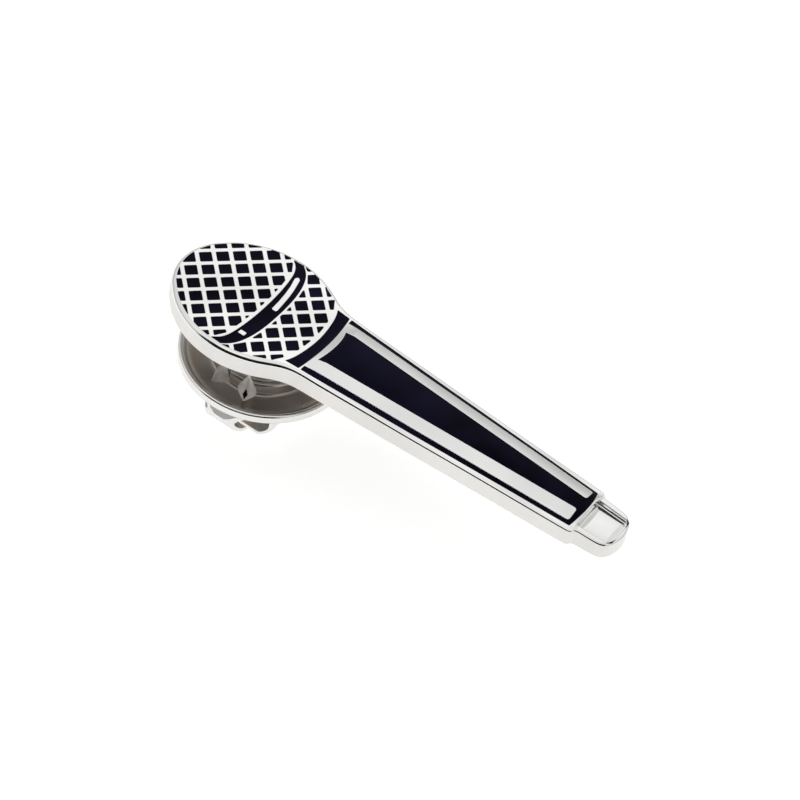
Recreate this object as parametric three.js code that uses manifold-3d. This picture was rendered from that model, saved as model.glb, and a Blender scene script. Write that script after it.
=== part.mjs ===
// Microphone-shaped tie tack: a die-struck metal blank with hard black enamel in its
// recesses, a tack post soldered to its back, and a butterfly clutch on the post.
//
// Frame: millimetres. The origin is where the post's axis meets the flat back of the
// pin. +Z points out of the back through the decorated face, +X runs from the ball of
// the microphone to its plug, +Y is across the pin.
import * as THREE from 'three';
import { mergeVertices } from 'three/addons/utils/BufferGeometryUtils.js';
import Module from 'manifold-3d';

// ---------------------------------------------------------------- driving dimensions
const LENGTH = 35.3;           // overall length of the pin
const ARTWORK_LENGTH = 36.92;  // the same length in units of the artwork drawing
const U = LENGTH / ARTWORK_LENGTH;
const POST_X = 6.433;          // the post's place along the artwork, in drawing units
const BACK = 1.62;             // from the head's face down to the flat back, drawing units
const CROWN_HEAD = 0.59;       // how far the handle's crown stands over the head's face
const CROWN_SLOPE = 0.013;     // and how fast that falls towards the plug
const EDGE_ROUND = 0.34;       // rounding of the blank's upper edge
const PLUG_TOP = [0.20, 0.28]; // how far the plug's rim lies under the head's face
const PITCH = 1.7;             // diagonal pitch of the grille's lattice
const CELL = 0.735;            // side of a grille cell over the side of the lattice
const RIM = 0.40;              // metal left between the grille and the edge

const ENAMEL_DEEP = 0.42;      // mm, depth of the recesses that hold enamel
const ENAMEL_LOW = 0.05;       // mm, how far the enamel lies under the metal round it
const WEB = 0.09;              // mm, thin floor that joins the enamel cells of a grille
const GAP = 0.02;              // mm, clearance between pieces that touch

const POST_R = 0.575;          // mm, tack post
const POST_TIP = -8.0;
const PAD_R = 2.5, PAD_T = 0.42, SOLDER_R = 2.72, SOLDER_T = 0.12;
const RIM_R = 5.87;            // mm, clutch dish, outer radius of its rolled rim
const RIM_Z = -2.85;           // top of that rim
const SHEET = 0.28;            // sheet metal of the clutch
const HOUSING_W = 6.2, HOUSING_L = 6.4, HOUSING_BACK = -6.9;
const CLUTCH_LIFT = 0.38;      // mm, how far the clutch stands up the post from its own datum
const WING_W = 3.9, WING_T = 0.32, WING_TIP = 4.75;

// ---------------------------------------------------------------- helpers
const wasm = await Module();
wasm.setup();

function solid(geometry) {
  const g = geometry.index ? geometry.toNonIndexed() : geometry.clone();
  for (const a of Object.keys(g.attributes)) if (a !== 'position') g.deleteAttribute(a);
  const m = mergeVertices(g, 1e-5);
  const idx = Array.from(m.index.array), tri = [];
  for (let i = 0; i < idx.length; i += 3) {
    const [a, b, c] = [idx[i], idx[i + 1], idx[i + 2]];
    if (a !== b && b !== c && c !== a) tri.push(a, b, c);
  }
  const out = new wasm.Manifold(new wasm.Mesh({
    numProp: 3,
    vertProperties: new Float32Array(m.attributes.position.array),
    triVerts: new Uint32Array(tri),
  }));
  return out;
}
function geometryOf(manifold) {
  const m = manifold.getMesh();
  const g = new THREE.BufferGeometry();
  g.setAttribute('position', new THREE.BufferAttribute(new Float32Array(m.vertProperties), 3));
  g.setIndex(Array.from(m.triVerts));
  g.computeVertexNormals();
  return g;
}
// A straight prism on a flat outline, from z0 up to z1.
function prism(points, z0, z1) {
  let pts = points.map(([x, y]) => new THREE.Vector2(x, y));
  if (THREE.ShapeUtils.isClockWise(pts)) pts = pts.reverse();
  const g = new THREE.ExtrudeGeometry(new THREE.Shape(pts), { depth: z1 - z0, bevelEnabled: false });
  g.translate(0, 0, z0);
  return solid(g);
}
// A turned piece: a profile of [radius, z] that closes on itself or on the axis.
function turned(profile, segments) {
  const pts = profile.map(([r, z]) => new THREE.Vector2(r, z));
  if (profile[0][0] > 0 || profile[profile.length - 1][0] > 0) pts.push(pts[0].clone());
  const g = new THREE.LatheGeometry(pts, segments);
  g.rotateX(Math.PI / 2);
  const pos = g.attributes.position;          // lathe's seam: last column is the first
  const n = pts.length;
  for (let j = 0; j < n; j++) {
    pos.setXYZ(segments * n + j, pos.getX(j), pos.getY(j), pos.getZ(j));
  }
  for (let i = 0; i < pos.count; i++) {
    if (Math.hypot(pos.getX(i), pos.getY(i)) < 1e-6) pos.setXYZ(i, 0, 0, pos.getZ(i));
  }
  let s = solid(g);
  if (s.volume() < 0) {
    const idx = g.index.array;
    for (let i = 0; i < idx.length; i += 3) { const t = idx[i]; idx[i] = idx[i + 1]; idx[i + 1] = t; }
    s = solid(g);
  }
  return s;
}
const ax = (x) => (x - POST_X) * U;             // artwork station to millimetres
const az = (z) => (z + BACK) * U;
const to = (pts) => pts.map(([x, y]) => [ax(x), y * U]);
const lerpTable = (t, s) => {
  if (s <= t[0][0]) return t[0][1];
  for (let i = 1; i < t.length; i++) {
    if (s <= t[i][0]) {
      const k = (s - t[i - 1][0]) / (t[i][0] - t[i - 1][0]);
      return t[i - 1][1] + k * (t[i][1] - t[i - 1][1]);
    }
  }
  return t[t.length - 1][1];
};
const smooth = (a, b, s) => {
  const t = Math.min(1, Math.max(0, (s - a) / (b - a)));
  return t * t * (3 - 2 * t);
};

// ---------------------------------------------------------------- outline of the blank
// Half outline, drawing units: station along the pin, half width, size of edge rounding.
const HALF = [
  [-1.34, 0, 1], [-1.314, 0.431, 1], [-1.248, 0.861, 1], [-1.135, 1.262, 1],
  [-0.981, 1.641, 1], [-0.808, 1.997, 1], [-0.613, 2.335, 1], [-0.376, 2.644, 1],
  [-0.123, 2.918, 1], [0.118, 3.179, 1], [0.371, 3.432, 1], [0.625, 3.666, 1],
  [0.901, 3.881, 1], [1.195, 4.083, 1], [1.499, 4.276, 1], [1.803, 4.448, 1],
  [2.108, 4.601, 1], [2.412, 4.732, 1], [2.715, 4.854, 1], [3.04, 4.965, 1],
  [3.366, 5.057, 1], [3.69, 5.128, 1], [4.026, 5.189, 1], [4.682, 5.265, 1],
  [5.332, 5.29, 1], [6.023, 5.239, 1], [6.713, 5.107, 1], [7.391, 4.915, 1],
  [8.067, 4.663, 1], [8.445, 4.489, 1], [8.798, 4.297, 1], [9.099, 4.127, 1],
  [9.377, 3.968, 1], [9.692, 3.811, 1], [10.015, 3.674, 1], [10.367, 3.556, 1],
  [10.739, 3.471, 1], [11.113, 3.423, 1], [11.508, 3.39, 1], [12.507, 3.347, 1],
  [14.508, 3.241, 1], [17.008, 3.101, 1], [20.008, 2.934, 1], [23.008, 2.766, 1],
  [26.009, 2.607, 1], [29.01, 2.452, 1], [31.01, 2.348, 1], [31.91, 2.297, 0.9],
  [32.3, 2.265, 0.6], [32.5, 2.235, 0.35], [32.63, 2.17, 0.25], [32.71, 2.08, 0.25],
  [32.77, 1.98, 0.3], [32.86, 1.91, 0.5], [33.04, 1.875, 0.8], [33.6, 1.84, 1],
  [34.2, 1.8, 1], [34.6, 1.745, 1], [34.88, 1.63, 0.9], [35.12, 1.43, 0.8],
  [35.31, 1.16, 0.8], [35.44, 0.84, 0.9], [35.53, 0.44, 1], [35.58, 0, 1],
];
const halfWidth = (x) => lerpTable(HALF.map(([s, w]) => [s, w]), x);

// Height of the face over the artwork, drawing units over the head's face.
// A crown between the black stripes, a nearly level line outside them, a step down to the plug.
const LINE_IN = [[9.6, 0], [12, -0.06], [13, -0.07], [16, -0.09], [20, -0.13], [24, -0.14], [28, -0.15], [31, -0.19], [32.3, -0.20]];
const LINE_OUT = [[9.6, 0], [11.5, -0.06], [13, -0.12], [16, -0.14], [20, -0.18], [24, -0.18], [28, -0.22], [31, -0.22], [32.4, -0.23]];
function faceHeight(x, y) {
  const grow = smooth(11.12, 11.72, x);
  const crown = (CROWN_HEAD - CROWN_SLOPE * (x - 12)) * grow;
  const inner = 2.98 - 0.0575 * (x - 12), w = Math.max(halfWidth(x), inner + 0.05), v = Math.abs(y);
  const a = lerpTable(LINE_IN, x), b = lerpTable(LINE_OUT, x);
  const h = v < inner ? crown + (a - crown) * (v / inner) ** 2 : a + (b - a) * Math.min(1, (v - inner) / (w - inner));
  // the step down to the plug, and the plug's rim
  const plug = -(PLUG_TOP[0] + (PLUG_TOP[1] - PLUG_TOP[0]) * Math.min(1, Math.max(0, (x - 32.8) / 2.2)));
  const step = smooth(32.60, 32.74, x);
  return h * (1 - step) + plug * step;
}

// The closed outline, counter-clockwise, in mirrored pairs about the centre line.
const upper = HALF.map((p) => [p[0], p[1], p[2]]);
const lower = HALF.slice(1, -1).map((p) => [p[0], -p[1], p[2]]);
const ring = [...upper.slice().reverse(), ...lower];      // plug end -> +Y side -> ball -> -Y side
const N = ring.length;
const normals = ring.map((_, i) => {
  const a = ring[(i + N - 1) % N], b = ring[(i + 1) % N];
  const t = [b[0] - a[0], b[1] - a[1]], l = Math.hypot(...t);
  return [t[1] / l, -t[0] / l];                            // outward for this winding
});
function offsetRing(d) {
  return ring.map(([x, y, r], i) => {
    const px = x - normals[i][0] * d * r, py = y - normals[i][1] * d * r;
    return [px, Math.abs(y) < 1e-9 ? 0 : py];
  });
}
// The blank: flat back, straight walls, rounded upper edge, modelled face lowered by "down".
function blank(down, inset) {
  const R = EDGE_ROUND;
  const rings = [];
  const base = offsetRing(inset);
  rings.push(base.map(([x, y]) => [x, y, -BACK + (down ? 0.4 : 0)]));
  const steps = [0, 32, 62, 90];
  const topRing = offsetRing(inset + R);
  for (const deg of steps) {
    const c = Math.cos((deg * Math.PI) / 180), s = Math.sin((deg * Math.PI) / 180);
    const rr = offsetRing(inset + R * (1 - c));
    rings.push(rr.map(([x, y], i) => {
      const zt = faceHeight(topRing[i][0], topRing[i][1]) - down;
      const r = R * (0.35 + 0.65 * ring[i][2]);
      return [x, y, zt - r * (1 - s)];
    }));
  }
  const verts = [];
  const tris = [];
  const id = (k, i) => k * N + ((i + N) % N);
  for (const r of rings) for (const p of r) verts.push(p);
  for (let k = 0; k + 1 < rings.length; k++) {
    for (let i = 0; i < N; i++) {
      tris.push([id(k, i), id(k, i + 1), id(k + 1, i + 1)], [id(k, i), id(k + 1, i + 1), id(k + 1, i)]);
    }
  }
  // the face and the back, strip by strip between mirrored pairs
  const H = HALF.length;
  const rowOf = (k, depth) => {
    const M = depth === null ? 6 : 1;
    const rows = [];
    for (let j = 0; j < H; j++) {                          // from the plug's end to the ball
      const a = id(k, j), b = id(k, (N - j) % N);
      if (a === b) { rows.push([a]); continue; }
      const row = [a];
      const pa = verts[a], pb = verts[b];
      for (let m = 1; m < M; m++) {
        const f = m / M, x = pa[0] + (pb[0] - pa[0]) * f, y = pa[1] + (pb[1] - pa[1]) * f;
        verts.push([x, y, depth === null ? faceHeight(x, y) - down : depth]);
        row.push(verts.length - 1);
      }
      row.push(b);
      rows.push(row);
    }
    return rows;
  };
  const stitch = (rows, up) => {
    for (let j = 0; j + 1 < rows.length; j++) {
      const A = rows[j], B = rows[j + 1];
      const put = (a, b, c) => tris.push(up ? [a, b, c] : [a, c, b]);
      if (A.length === 1) for (let m = 0; m + 1 < B.length; m++) put(A[0], B[m], B[m + 1]);
      else if (B.length === 1) for (let m = 0; m + 1 < A.length; m++) put(A[m], B[0], A[m + 1]);
      else for (let m = 0; m + 1 < A.length; m++) { put(A[m], B[m], B[m + 1]); put(A[m], B[m + 1], A[m + 1]); }
    }
  };
  stitch(rowOf(rings.length - 1, null), true);
  stitch(rowOf(0, -BACK + (down ? 0.4 : 0)), false);
  const pos = [];
  for (const t of tris) for (const v of t) pos.push(ax(verts[v][0]), verts[v][1] * U, az(verts[v][2]));
  const g = new THREE.BufferGeometry();
  g.setAttribute('position', new THREE.BufferAttribute(new Float32Array(pos), 3));
  return solid(g);
}

// ---------------------------------------------------------------- the artwork's recesses
// Curved cross bands: station against distance from the centre line.
const BAND_A = [[0, 5.87], [1, 5.85], [2, 5.78], [2.8, 5.70], [3.4, 5.60], [4.0, 5.42], [4.4, 5.20], [4.7, 4.92], [4.84, 4.70]];
const BAND_B = [[0, 7.00], [1, 6.97], [2, 6.90], [2.8, 6.77], [3.4, 6.60], [4.0, 6.36], [4.4, 6.08], [4.7, 5.80], [4.86, 5.58]];
const COLLAR_A = [[0, 10.38], [1, 10.32], [2, 10.16], [2.6, 10.00], [3.12, 9.76]];
const COLLAR_B = [[0, 11.20], [1, 11.15], [2, 11.02], [2.6, 10.92], [3.04, 10.84]];
const both = (t) => [...t.slice(1).reverse().map(([y, x]) => [x, -y]), ...t.map(([y, x]) => [x, y])];
const bandOutline = (a, b) => [...both(a), ...both(b).reverse()];
const panelW = (x) => 1.64 - 0.0535 * (x - 12);            // half width of the long panel
const stripeW = (x) => 2.58 - 0.0500 * (x - 12);           // outer edge of the bright stripes
const outerW = (x) => 2.98 - 0.0575 * (x - 12);            // outer edge of the black stripes
const arc = (x0, sag, half, n) => Array.from({ length: n + 1 }, (_, i) => {
  const y = half - (2 * half * i) / n;
  return [x0 - sag * (y / half) ** 2, y];
});
function handleOutline() {
  const tail = 32.05, p = [];
  for (let x = 11.03; x < 32.2; x += 2.1) p.push([x, outerW(x)]);
  p.push(...arc(32.57, 0.29, outerW(32.28), 10));
  for (let x = 30.2; x > 11.1; x -= 2.1) p.push([x, -outerW(x)]);
  p.push([11.03, -outerW(11.03)], [11.03, -stripeW(11.03)]);
  p.push([31.85, -stripeW(31.85)], [32.0, -(stripeW(32) - 0.05)], [tail, -(stripeW(tail) - 0.2)]);
  p.push([tail, -(panelW(tail) + 0.16)], [32.0, -(panelW(32) + 0.03)], [31.85, -panelW(31.85)]);
  p.push(...arc(11.79, 0.32, panelW(11.47), 8).reverse());
  p.push([31.85, panelW(31.85)], [32.0, panelW(32) + 0.03], [tail, panelW(tail) + 0.16]);
  p.push([tail, stripeW(tail) - 0.2], [32.0, stripeW(32) - 0.05], [31.85, stripeW(31.85)]);
  p.push([11.03, stripeW(11.03)]);
  return p;
}
// The raised bar and the small raised key inside the middle band.
const BAR = [[5.66, 3.52], [5.80, 3.68], [6.00, 3.70], [6.17, 3.58], [6.31, 3.05], [6.45, 2.45], [6.56, 1.75],
  [6.64, 0.95], [6.70, 0.18], [6.58, 0.05], [6.30, 0.05], [6.19, 0.18], [6.13, 0.95], [6.02, 1.85], [5.87, 2.65]];
const KEY = [[5.86, -2.95], [5.90, -2.90], [6.34, -2.90], [6.38, -2.95], [6.34, -3.22], [6.28, -3.27], [5.88, -3.27], [5.82, -3.22]];

// Shrinks a closed outline by d along its corner bisectors.
function shrink(points, d) {
  const n = points.length;
  let area = 0;
  for (let i = 0; i < n; i++) {
    const a = points[i], b = points[(i + 1) % n];
    area += a[0] * b[1] - b[0] * a[1];
  }
  const s = area > 0 ? 1 : -1;
  return points.map((p, i) => {
    const a = points[(i + n - 1) % n], b = points[(i + 1) % n];
    const u = [p[0] - a[0], p[1] - a[1]], v = [b[0] - p[0], b[1] - p[1]];
    const lu = Math.hypot(...u), lv = Math.hypot(...v);
    const n1 = [(-u[1] / lu) * s, (u[0] / lu) * s], n2 = [(-v[1] / lv) * s, (v[0] / lv) * s];
    const m = [n1[0] + n2[0], n1[1] + n2[1]], lm = Math.hypot(...m);
    const cos = Math.max(0.45, (m[0] * n1[0] + m[1] * n1[1]) / lm);
    return [p[0] + (m[0] / lm) * (d / cos), p[1] + (m[1] / lm) * (d / cos)];
  });
}
// The two grille fields, inside the rim and beside the bands.
function rimPoint(x, inset) { return halfWidth(x) - inset; }
function grilleUpper() {
  const left = offsetRing(RIM / 1).map(([x, y]) => [x, y]).filter(([x]) => x < 4.9);
  const top = left.filter(([, y]) => y >= 0).sort((a, b) => a[0] - b[0]);
  const cut = BAND_A.map(([y, x]) => [x - 0.27, y]);
  const t = top.filter(([x, y]) => x < lerpTable(BAND_A, y) - 0.27 - 0.02);
  const half = [...t, ...cut.filter(([x, y]) => y <= Math.min(t[t.length - 1][1], 4.75)).reverse()];
  const low = half.slice(1, -1).reverse().map(([x, y]) => [x, -y]);
  return [...half, ...low];
}
function grilleLower() {
  const a = BAND_B.filter(([y]) => y <= 4.5).map(([y, x]) => [x + 0.16, y]);
  const c = COLLAR_A.filter(([y]) => y <= 2.7).map(([y, x]) => [x - 0.33, y]);
  const rimPts = offsetRing(RIM + 0.02).filter(([x, y]) => y > 0 && x > a[a.length - 1][0] + 0.1 && x < c[c.length - 1][0] - 0.1)
    .sort((p, q) => p[0] - q[0]).filter(([x, y]) => y > 3.0);
  const half = [...a, ...rimPts, ...c.reverse()];
  const low = half.slice(1, -1).reverse().map(([x, y]) => [x, -y]);
  return [...half, ...low];
}
// One lattice cell: a square on its corner.
function cellOutline(cx, cy) {
  const h = (PITCH / 2) * CELL;
  return [[cx + h, cy], [cx, cy + h], [cx - h, cy], [cx, cy - h]];
}
function cells() {
  const out = [];
  for (let u = -8; u <= 14; u++) {
    for (let v = -8; v <= 14; v++) {
      const x = ((u + v) * PITCH) / 2, y = ((u - v + 1) * PITCH) / 2;
      if (x > -2 && x < 11.5 && Math.abs(y) < 6) out.push([x, y]);
    }
  }
  return out;
}

// ---------------------------------------------------------------- build the blank
const FLOOR = az(0) - ENAMEL_DEEP;                         // floor of the head's recesses
const HANDLE_FLOOR = az(-0.30) - ENAMEL_DEEP + 0.12;       // floor of the handle's recess
const TALL = az(1.2);
const field = { upper: grilleUpper(), lower: grilleLower() };

function clippedCells(region, dMetal) {
  // cells inside one field; dMetal shrinks both the field and each cell
  const area = prism(to(shrink(region, dMetal)), 0, TALL + 1);
  const list = [];
  for (const [x, y] of cells()) {
    const c = prism(to(shrink(cellOutline(x, y), dMetal)), FLOOR - 0.5, TALL);
    const piece = c.intersect(area);
    if (piece.isEmpty()) continue;
    const a = piece.volume() / (TALL - FLOOR + 0.5);
    if (a < 0.03) continue;                                // slivers are plain metal
    list.push({ piece, x, y, a });
  }
  return list;
}
const wanted = {};
for (const k of ['upper', 'lower']) {
  wanted[k] = clippedCells(field[k], 0);
}
const key = ({ x, y }) => `${x.toFixed(3)},${y.toFixed(3)}`;

let body = blank(0, 0);
const slab = (z0, z1) => prism([[-30, -20], [60, -20], [60, 20], [-30, 20]], z0, z1);
const above = slab(FLOOR, TALL + 1);
for (const k of ['upper', 'lower']) {
  const web = prism(to(shrink(field[k], -0.0)), FLOOR, FLOOR + WEB + 2 * GAP);
  body = body.subtract(web);
  for (const c of wanted[k]) body = body.subtract(c.piece.intersect(above));
}
const bandPts = bandOutline(BAND_A, BAND_B), collarPts = bandOutline(COLLAR_A, COLLAR_B);
const handlePts = handleOutline();
body = body.subtract(prism(to(bandPts), FLOOR, TALL).subtract(prism(to(BAR), FLOOR - 1, TALL + 1)).subtract(prism(to(KEY), FLOOR - 1, TALL + 1)));
body = body.subtract(prism(to(collarPts), FLOOR, TALL));
body = body.subtract(prism(to(handlePts), HANDLE_FLOOR, TALL));
// the plug's plain sunk field
const PLUG_FIELD = [[32.69, -1.40], [32.69, 1.40], [34.95, 1.27], [35.14, 1.16], [35.21, 0.95], [35.25, 0], [35.21, -0.95], [35.14, -1.16], [34.95, -1.27]];
body = body.subtract(prism(to(PLUG_FIELD), az(-0.62), TALL));

// ---------------------------------------------------------------- build the enamel
const HEAD_TOP = az(0) - ENAMEL_LOW;
const low = blank(ENAMEL_LOW / U, 0.02);
function enamelFrom(points, floor, top, cutters = []) {
  let e = prism(to(shrink(points, GAP / U)), floor + GAP, top);
  for (const c of cutters) e = e.subtract(prism(to(shrink(c, -GAP / U)), floor - 1, TALL + 1));
  return e;
}
function grilleEnamel(k) {
  let e = prism(to(shrink(field[k], GAP / U)), FLOOR + GAP, FLOOR + GAP + WEB);
  const area = prism(to(shrink(field[k], GAP / U)), 0, TALL + 1);
  const keep = new Set(wanted[k].map(key));
  for (const [x, y] of cells()) {
    if (!keep.has(key({ x, y }))) continue;
    const c = prism(to(shrink(cellOutline(x, y), GAP / U)), FLOOR + GAP, HEAD_TOP).intersect(area);
    if (!c.isEmpty()) e = e.add(c);
  }
  return e;
}
const enamel = {
  enamel_grille_upper: grilleEnamel('upper'),
  enamel_grille_lower: grilleEnamel('lower'),
  enamel_mid_band: enamelFrom(bandPts, FLOOR, HEAD_TOP, [BAR, KEY]),
  enamel_collar_band: enamelFrom(collarPts, FLOOR, HEAD_TOP),
  enamel_handle: enamelFrom(handlePts, HANDLE_FLOOR, TALL).intersect(low),
};

// ---------------------------------------------------------------- post
const padTop = -GAP - SOLDER_T - GAP;
const padLow = padTop - PAD_T;
const solderJoint = turned([
  [0, -GAP], [SOLDER_R - 0.05, -GAP], [SOLDER_R, -GAP - 0.04], [SOLDER_R - 0.16, -GAP - SOLDER_T], [0, -GAP - SOLDER_T],
], 32);
const tackPost = turned([
  [0, padTop], [PAD_R - 0.08, padTop], [PAD_R, padTop - 0.08], [PAD_R, padLow + 0.08], [PAD_R - 0.08, padLow],
  [POST_R + 0.35, padLow], [POST_R + 0.12, padLow - 0.08], [POST_R, padLow - 0.28],
  [POST_R, -4.9], [POST_R - 0.12, -5.0], [POST_R - 0.12, -5.25], [POST_R, -5.35],
  [POST_R, -6.15], [POST_R - 0.12, -6.3], [POST_R - 0.12, -6.55], [POST_R, -6.7],
  [POST_R, -7.0], [0.42, -7.45], [0.20, -7.86], [0, POST_TIP],
], 24);

// ---------------------------------------------------------------- clutch
const zf = RIM_Z - 0.60;                                   // floor of the dish
let dish = turned([
  [1.00, -3.22], [1.75, -3.06], [2.95, -2.60], [3.18, -2.58], [3.34, -2.70], [3.50, -3.30],
  [3.80, zf], [4.80, zf], [5.18, zf + 0.14], [5.47, RIM_Z - 0.08], [5.66, RIM_Z], [5.80, RIM_Z - 0.06],
  [RIM_R, RIM_Z - 0.18], [RIM_R, RIM_Z - 0.64], [RIM_R - 0.22, RIM_Z - 0.66], [RIM_R - 0.25, RIM_Z - 0.36],
  [5.36, RIM_Z - 0.66], [4.85, zf - SHEET], [3.66, zf - SHEET], [3.26, zf - SHEET + 0.12], [3.05, -2.98],
  [1.80, -3.36], [1.00, -3.52],
], 48);
function nib(deg) {
  const a = (deg * Math.PI) / 180;
  const P = (r, t, z) => [r * Math.cos(a) - t * Math.sin(a), r * Math.sin(a) + t * Math.cos(a), z];
  const zb = zf - 0.12;
  const v = [P(2.95, 0, zb), P(3.35, -0.92, zb), P(4.42, 0, zb), P(3.35, 0.92, zb), P(3.42, 0, -1.75), P(3.52, 0, -1.78)];
  const t = [[0, 2, 1], [0, 3, 2], [0, 1, 4], [1, 5, 4], [1, 2, 5], [2, 3, 5], [3, 4, 5], [3, 0, 4]];
  const pos = [];
  for (const f of t) for (const i of f) pos.push(...v[i]);
  const g = new THREE.BufferGeometry();
  g.setAttribute('position', new THREE.BufferAttribute(new Float32Array(pos), 3));
  let s = solid(g);
  if (s.volume() < 0) {
    for (const f of t) f.reverse();
    const q = [];
    for (const f of t) for (const i of f) q.push(...v[i]);
    g.setAttribute('position', new THREE.BufferAttribute(new Float32Array(q), 3));
    s = solid(g);
  }
  return s;
}
for (const deg of [-107, -73, 73, 107]) dish = dish.add(nib(deg));

// The eyelet: a tubular rivet that clamps the housing to the dish and guides the post.
const H_TOP = zf - SHEET - GAP;                            // top face of the housing
const eyelet = turned([
  [0.64, -3.02], [0.92, -2.93], [1.50, -2.98], [1.56, -3.04], [1.40, -3.10], [1.00 - GAP, -3.18], [1.00 - GAP, H_TOP - SHEET - GAP],
  [1.35, H_TOP - SHEET - GAP], [1.38, H_TOP - SHEET - 0.10], [1.30, H_TOP - SHEET - 0.18], [0.64, H_TOP - SHEET - 0.18],
], 28);

// The housing: a folded sheet sleeve, open at both ends for the wings.
function roundedBox(w, h, r, n = 5) {
  const p = [];
  for (const [cx, cy, a0] of [[w / 2 - r, h / 2 - r, 0], [-w / 2 + r, h / 2 - r, 90], [-w / 2 + r, -h / 2 + r, 180], [w / 2 - r, -h / 2 + r, 270]]) {
    for (let i = 0; i <= n; i++) {
      const a = ((a0 + (90 * i) / n) * Math.PI) / 180;
      p.push([cx + r * Math.cos(a), cy + r * Math.sin(a)]);
    }
  }
  return p;
}
function alongY(points, y0, y1) {                          // points are [x, z]
  let pts = points.map(([x, z]) => new THREE.Vector2(x, z));
  if (THREE.ShapeUtils.isClockWise(pts)) pts = pts.reverse();
  const g = new THREE.ExtrudeGeometry(new THREE.Shape(pts), { depth: y1 - y0, bevelEnabled: false });
  g.rotateX(Math.PI / 2);                                  // extrusion now runs along -Y
  g.translate(0, y1, 0);
  return solid(g);
}
const disc = (r, z0, z1, n = 32) => prism(Array.from({ length: n }, (_, i) => {
  const a = (2 * Math.PI * i) / n;
  return [r * Math.cos(a), r * Math.sin(a)];
}), z0, z1);
const hz = (H_TOP + HOUSING_BACK) / 2, hh = H_TOP - HOUSING_BACK;
let housing = alongY(roundedBox(HOUSING_W, hh, 0.7).map(([x, z]) => [x, z + hz]), -HOUSING_L / 2, HOUSING_L / 2);
housing = housing.subtract(alongY(roundedBox(HOUSING_W - 2 * SHEET, hh - 2 * SHEET, 0.45).map(([x, z]) => [x, z + hz]), -HOUSING_L, HOUSING_L));
housing = housing.intersect(disc(3.95, HOUSING_BACK - 1, H_TOP + 1, 56));
housing = housing.subtract(disc(1.0, H_TOP - 0.9, H_TOP + 0.5));
housing = housing.subtract(disc(0.78, HOUSING_BACK - 0.5, HOUSING_BACK + 0.9));

// The wings: two sliding plates that cross round the post, each with a curled ear.
// Each hole's inner end bears on the post; squeezing the ears together frees it.
const W_TRAVEL = 0.6;
function wing(side, zTop, tail) {
  // side -1: the ear is on -Y. A plate, then an ear that drops and curls back.
  const t = WING_T, w = WING_W / 2;
  const zMid = -5.25;
  const yOut = side * 3.35;
  // centre line of the strip in the Y-Z plane, for side = -1 mirrored when side = +1
  const line = [[-tail, zTop - t / 2], [2.6, zTop - t / 2], [3.05, zTop - t / 2 - (zTop - t / 2 - zMid) * 0.5], [3.45, zMid + 0.1],
    [3.95, zMid + 0.14], [4.35, zMid], [4.56, zMid - 0.32], [4.55, zMid - 0.68], [4.32, zMid - 0.98], [3.98, zMid - 1.08], [3.74, zMid - 0.94]];
  const n = line.length;
  const off = (d) => line.map((p, i) => {
    const a = line[Math.max(0, i - 1)], b = line[Math.min(n - 1, i + 1)];
    const v = [b[0] - a[0], b[1] - a[1]], l = Math.hypot(...v);
    return [p[0] - (v[1] / l) * d, p[1] + (v[0] / l) * d];
  });
  const outline = [...off(t / 2), ...off(-t / 2).reverse()];
  // extrude along X, width of the strip
  let pts = outline.map(([y, z]) => new THREE.Vector2(side * y, z));
  if (THREE.ShapeUtils.isClockWise(pts)) pts = pts.reverse();
  const g = new THREE.ExtrudeGeometry(new THREE.Shape(pts), { depth: 2 * w, bevelEnabled: false });
  g.rotateX(Math.PI / 2);                                  // shape's y -> z, depth -> -y
  g.rotateZ(Math.PI / 2);                                  // x -> y, -y -> x
  g.translate(-w, 0, 0);
  let s = solid(g);
  // plan shape: parallel sides, rounded ear
  const plan = [];
  plan.push([-w, side * -2.2], [w, side * -2.2]);
  for (let i = 0; i <= 14; i++) {
    const a = (Math.PI * i) / 14;
    plan.push([w * Math.cos(a), side * (WING_TIP - w * 0.92 + w * 0.92 * Math.sin(a))]);
  }
  s = s.intersect(prism(plan, -9, -3));
  // the post's slot
  const r = POST_R + 0.045, slot = [];
  for (let i = 0; i <= 10; i++) {
    const a = (Math.PI * i) / 10;
    slot.push([r * Math.cos(a), side * -(r * Math.sin(a))]);
  }
  for (let i = 0; i <= 10; i++) {
    const a = Math.PI + (Math.PI * i) / 10;
    slot.push([r * Math.cos(a), side * (W_TRAVEL + 0.05 - r * Math.sin(a))]);
  }
  s = s.subtract(prism(slot, -9, -3));
  return s;
}
const cavTop = H_TOP - SHEET - 0.20;                       // under the eyelet's lower flange
const wingNear = wing(-1, cavTop - 0.04, 1.9);
const wingFar = wing(1, cavTop - 0.04 - WING_T - 0.06, 1.3);   // shorter, clear of the other wing's ear

// The wing spring: an oval hoop of strip round the post, behind the plates.
const springZ = [HOUSING_BACK + SHEET + 0.06, HOUSING_BACK + SHEET + 0.86];
const oval = (a, b, n = 36) => Array.from({ length: n }, (_, i) => {
  const t = (2 * Math.PI * i) / n;
  return [a * Math.cos(t), b * Math.sin(t)];
});
const wingSpring = prism(oval(1.95, 3.54), springZ[0], springZ[1]).subtract(prism(oval(1.77, 3.36), springZ[0] - 1, springZ[1] + 1));

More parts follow.
